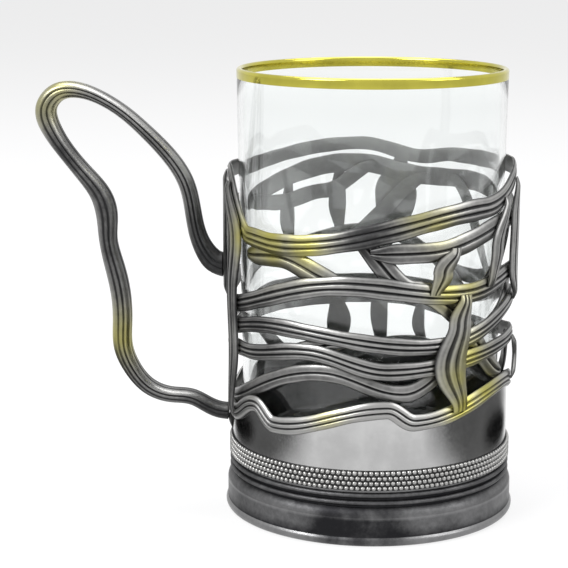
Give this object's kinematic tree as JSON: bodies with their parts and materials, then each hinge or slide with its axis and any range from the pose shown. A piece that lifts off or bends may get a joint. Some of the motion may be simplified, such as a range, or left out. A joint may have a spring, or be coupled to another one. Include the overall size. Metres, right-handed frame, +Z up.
{
  "type": "tea glass holder",
  "caption": "Footed metal holder with a wavy openwork basket, a polished skirt and a looped vine-like handle, round a clear tea glass with a gilt rim.",
  "frame": {"origin": "centre of the foot on the table, on the axis of the glass", "axes": "+Z up along the axis of the glass, -X to the handle, -Y to the side that the picture shows"},
  "size_m": [0.1226, 0.0747, 0.1129],
  "materials": {
    "oxidised_silver": "silver plate on brass, blackened in the recesses, worn bright on the edges",
    "polished_silver": "polished silver plate on brass",
    "glass": "clear",
    "gilt": "gilding"
  },
  "bodies": {
    "holder": {"foot_ring": "oxidised_silver", "floor_disc": "oxidised_silver", "lower_wire": "oxidised_silver", "upper_wire": "oxidised_silver", "granulated_band": "oxidised_silver", "skirt": "polished_silver", "border_ribbon": "oxidised_silver", "low_hoop": "oxidised_silver", "middle_hoop": "oxidised_silver", "shoulder_hoop": "oxidised_silver", "top_hoop": "oxidised_silver", "second_strand": "oxidised_silver", "front_fall": "oxidised_silver", "left_fall": "oxidised_silver", "right_rise": "oxidised_silver", "side_rise": "oxidised_silver", "side_drop": "oxidised_silver", "low_sweep": "oxidised_silver", "merge_link": "oxidised_silver", "far_rise": "oxidised_silver", "back_fall": "oxidised_silver", "back_rise": "oxidised_silver", "back_link": "oxidised_silver", "back_low_rise": "oxidised_silver", "left_low_rise": "oxidised_silver", "back_leaf": "oxidised_silver", "back_stem_right": "oxidised_silver", "back_stem_low": "oxidised_silver", "back_stem_middle": "oxidised_silver", "back_stem_left": "oxidised_silver", "left_post": "oxidised_silver", "right_post_front": "oxidised_silver", "right_post_side": "oxidised_silver", "right_blade": "oxidised_silver", "right_trunk": "oxidised_silver", "side_loop": "oxidised_silver", "handle": "oxidised_silver", "handle_plate": "oxidised_silver", "handle_pad": "oxidised_silver"},
    "glass": {"tea_glass": "glass", "gilded_rim": "gilt"}
  },
  "joints": [
    {"name": "glass_lift", "type": "slide", "parent": "holder", "child": "glass", "axis": [0, 0, 1], "range_m": [0, 0.105]}
  ]
}
